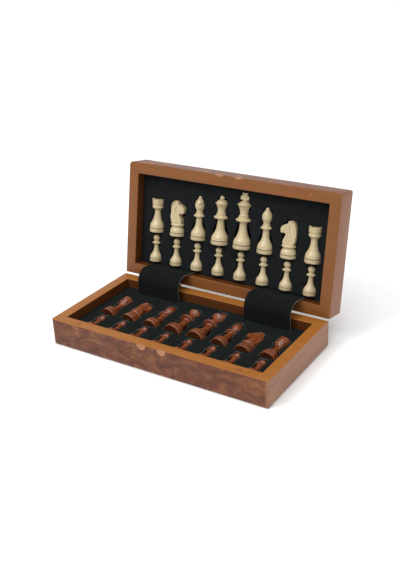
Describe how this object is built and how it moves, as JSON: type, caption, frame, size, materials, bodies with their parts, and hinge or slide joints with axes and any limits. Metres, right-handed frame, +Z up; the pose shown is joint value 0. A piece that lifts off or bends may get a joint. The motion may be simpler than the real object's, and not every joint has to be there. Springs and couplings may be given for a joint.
{
  "type": "folding chess set",
  "caption": "Hinged wooden chess box shown open: chequered board on the outer faces, padded trays inside that hold a light and a dark army of turned pieces.",
  "frame": {"origin": "middle of the underside of the base, on the surface it stands on", "axes": "+X along the length of the box to the right, +Y from the front edge to the hinge edge, +Z up"},
  "size_m": [0.38, 0.2705, 0.2319],
  "materials": {
    "case_veneer": "reddish brown burl and straight walnut veneer under satin lacquer, paler rims",
    "light_inlay": "pale maple veneer, satin lacquer",
    "dark_inlay": "dark walnut veneer, satin lacquer",
    "tray_lining": "black flocked foam, matt",
    "strap_cloth": "black brushed velvet tape, matt",
    "boxwood": "pale cream turned boxwood, satin",
    "rosewood": "red brown turned rosewood, polished",
    "brass": "drawn brass, lightly tarnished",
    "magnet": "plated disc magnet"
  },
  "bodies": {
    "base": {"base_panel": "case_veneer", "base_front_rail": "case_veneer", "base_back_rail": "case_veneer", "base_left_rail": "case_veneer", "base_right_rail": "case_veneer", "base_light_squares": "light_inlay", "base_dark_squares": "dark_inlay", "base_foam": "tray_lining", "base_magnets": "magnet", "left_hinge_base_leaf": "brass", "right_hinge_base_leaf": "brass", "hinge_pins": "brass", "base_hinge_screws": "brass", "left_strap": "strap_cloth", "right_strap": "strap_cloth"},
    "lid": {"lid_panel": "case_veneer", "lid_front_rail": "case_veneer", "lid_back_rail": "case_veneer", "lid_left_rail": "case_veneer", "lid_right_rail": "case_veneer", "lid_light_squares": "light_inlay", "lid_dark_squares": "dark_inlay", "lid_foam": "tray_lining", "lid_magnets": "magnet", "left_hinge_lid_leaf": "brass", "right_hinge_lid_leaf": "brass", "lid_hinge_screws": "brass"},
    "dark_rook_left": {"dark_rook_left": "rosewood"},
    "dark_knight_left": {"dark_knight_left": "rosewood"},
    "dark_bishop_left": {"dark_bishop_left": "rosewood"},
    "dark_queen": {"dark_queen": "rosewood"},
    "dark_king": {"dark_king": "rosewood"},
    "dark_bishop_right": {"dark_bishop_right": "rosewood"},
    "dark_knight_right": {"dark_knight_right": "rosewood"},
    "dark_rook_right": {"dark_rook_right": "rosewood"},
    "dark_pawn_1": {"dark_pawn_1": "rosewood"},
    "dark_pawn_2": {"dark_pawn_2": "rosewood"},
    "dark_pawn_3": {"dark_pawn_3": "rosewood"},
    "dark_pawn_4": {"dark_pawn_4": "rosewood"},
    "dark_pawn_5": {"dark_pawn_5": "rosewood"},
    "dark_pawn_6": {"dark_pawn_6": "rosewood"},
    "dark_pawn_7": {"dark_pawn_7": "rosewood"},
    "dark_pawn_8": {"dark_pawn_8": "rosewood"},
    "light_rook_left": {"light_rook_left": "boxwood"},
    "light_knight_left": {"light_knight_left": "boxwood"},
    "light_bishop_left": {"light_bishop_left": "boxwood"},
    "light_queen": {"light_queen": "boxwood"},
    "light_king": {"light_king": "boxwood"},
    "light_bishop_right": {"light_bishop_right": "boxwood"},
    "light_knight_right": {"light_knight_right": "boxwood"},
    "light_rook_right": {"light_rook_right": "boxwood"},
    "light_pawn_1": {"light_pawn_1": "boxwood"},
    "light_pawn_2": {"light_pawn_2": "boxwood"},
    "light_pawn_3": {"light_pawn_3": "boxwood"},
    "light_pawn_4": {"light_pawn_4": "boxwood"},
    "light_pawn_5": {"light_pawn_5": "boxwood"},
    "light_pawn_6": {"light_pawn_6": "boxwood"},
    "light_pawn_7": {"light_pawn_7": "boxwood"},
    "light_pawn_8": {"light_pawn_8": "boxwood"}
  },
  "joints": [
    {"name": "lid_hinge", "type": "hinge", "parent": "base", "child": "lid", "pos_m": [0, 0.0968, 0.04365], "axis": [-1, 0, 0], "range_deg": [-101, 79], "deforming": ["left_strap", "right_strap"]},
    {"name": "dark_rook_left_lift", "type": "slide", "parent": "base", "child": "dark_rook_left", "axis": [0, 0, 1], "range_m": [0, 0.04]},
    {"name": "dark_knight_left_lift", "type": "slide", "parent": "base", "child": "dark_knight_left", "axis": [0, 0, 1], "range_m": [0, 0.04]},
    {"name": "dark_bishop_left_lift", "type": "slide", "parent": "base", "child": "dark_bishop_left", "axis": [0, 0, 1], "range_m": [0, 0.04]},
    {"name": "dark_queen_lift", "type": "slide", "parent": "base", "child": "dark_queen", "axis": [0, 0, 1], "range_m": [0, 0.04]},
    {"name": "dark_king_lift", "type": "slide", "parent": "base", "child": "dark_king", "axis": [0, 0, 1], "range_m": [0, 0.04]},
    {"name": "dark_bishop_right_lift", "type": "slide", "parent": "base", "child": "dark_bishop_right", "axis": [0, 0, 1], "range_m": [0, 0.04]},
    {"name": "dark_knight_right_lift", "type": "slide", "parent": "base", "child": "dark_knight_right", "axis": [0, 0, 1], "range_m": [0, 0.04]},
    {"name": "dark_rook_right_lift", "type": "slide", "parent": "base", "child": "dark_rook_right", "axis": [0, 0, 1], "range_m": [0, 0.04]},
    {"name": "dark_pawn_1_lift", "type": "slide", "parent": "base", "child": "dark_pawn_1", "axis": [0, 0, 1], "range_m": [0, 0.04]},
    {"name": "dark_pawn_2_lift", "type": "slide", "parent": "base", "child": "dark_pawn_2", "axis": [0, 0, 1], "range_m": [0, 0.04]},
    {"name": "dark_pawn_3_lift", "type": "slide", "parent": "base", "child": "dark_pawn_3", "axis": [0, 0, 1], "range_m": [0, 0.04]},
    {"name": "dark_pawn_4_lift", "type": "slide", "parent": "base", "child": "dark_pawn_4", "axis": [0, 0, 1], "range_m": [0, 0.04]},
    {"name": "dark_pawn_5_lift", "type": "slide", "parent": "base", "child": "dark_pawn_5", "axis": [0, 0, 1], "range_m": [0, 0.04]},
    {"name": "dark_pawn_6_lift", "type": "slide", "parent": "base", "child": "dark_pawn_6", "axis": [0, 0, 1], "range_m": [0, 0.04]},
    {"name": "dark_pawn_7_lift", "type": "slide", "parent": "base", "child": "dark_pawn_7", "axis": [0, 0, 1], "range_m": [0, 0.04]},
    {"name": "dark_pawn_8_lift", "type": "slide", "parent": "base", "child": "dark_pawn_8", "axis": [0, 0, 1], "range_m": [0, 0.04]},
    {"name": "light_rook_left_lift", "type": "slide", "parent": "lid", "child": "light_rook_left", "axis": [0, -0.9816, 0.1908], "range_m": [0, 0.04]},
    {"name": "light_knight_left_lift", "type": "slide", "parent": "lid", "child": "light_knight_left", "axis": [0, -0.9816, 0.1908], "range_m": [0, 0.04]},
    {"name": "light_bishop_left_lift", "type": "slide", "parent": "lid", "child": "light_bishop_left", "axis": [0, -0.9816, 0.1908], "range_m": [0, 0.04]},
    {"name": "light_queen_lift", "type": "slide", "parent": "lid", "child": "light_queen", "axis": [0, -0.9816, 0.1908], "range_m": [0, 0.04]},
    {"name": "light_king_lift", "type": "slide", "parent": "lid", "child": "light_king", "axis": [0, -0.9816, 0.1908], "range_m": [0, 0.04]},
    {"name": "light_bishop_right_lift", "type": "slide", "parent": "lid", "child": "light_bishop_right", "axis": [0, -0.9816, 0.1908], "range_m": [0, 0.04]},
    {"name": "light_knight_right_lift", "type": "slide", "parent": "lid", "child": "light_knight_right", "axis": [0, -0.9816, 0.1908], "range_m": [0, 0.04]},
    {"name": "light_rook_right_lift", "type": "slide", "parent": "lid", "child": "light_rook_right", "axis": [0, -0.9816, 0.1908], "range_m": [0, 0.04]},
    {"name": "light_pawn_1_lift", "type": "slide", "parent": "lid", "child": "light_pawn_1", "axis": [0, -0.9816, 0.1908], "range_m": [0, 0.04]},
    {"name": "light_pawn_2_lift", "type": "slide", "parent": "lid", "child": "light_pawn_2", "axis": [0, -0.9816, 0.1908], "range_m": [0, 0.04]},
    {"name": "light_pawn_3_lift", "type": "slide", "parent": "lid", "child": "light_pawn_3", "axis": [0, -0.9816, 0.1908], "range_m": [0, 0.04]},
    {"name": "light_pawn_4_lift", "type": "slide", "parent": "lid", "child": "light_pawn_4", "axis": [0, -0.9816, 0.1908], "range_m": [0, 0.04]},
    {"name": "light_pawn_5_lift", "type": "slide", "parent": "lid", "child": "light_pawn_5", "axis": [0, -0.9816, 0.1908], "range_m": [0, 0.04]},
    {"name": "light_pawn_6_lift", "type": "slide", "parent": "lid", "child": "light_pawn_6", "axis": [0, -0.9816, 0.1908], "range_m": [0, 0.04]},
    {"name": "light_pawn_7_lift", "type": "slide", "parent": "lid", "child": "light_pawn_7", "axis": [0, -0.9816, 0.1908], "range_m": [0, 0.04]},
    {"name": "light_pawn_8_lift", "type": "slide", "parent": "lid", "child": "light_pawn_8", "axis": [0, -0.9816, 0.1908], "range_m": [0, 0.04]}
  ]
}
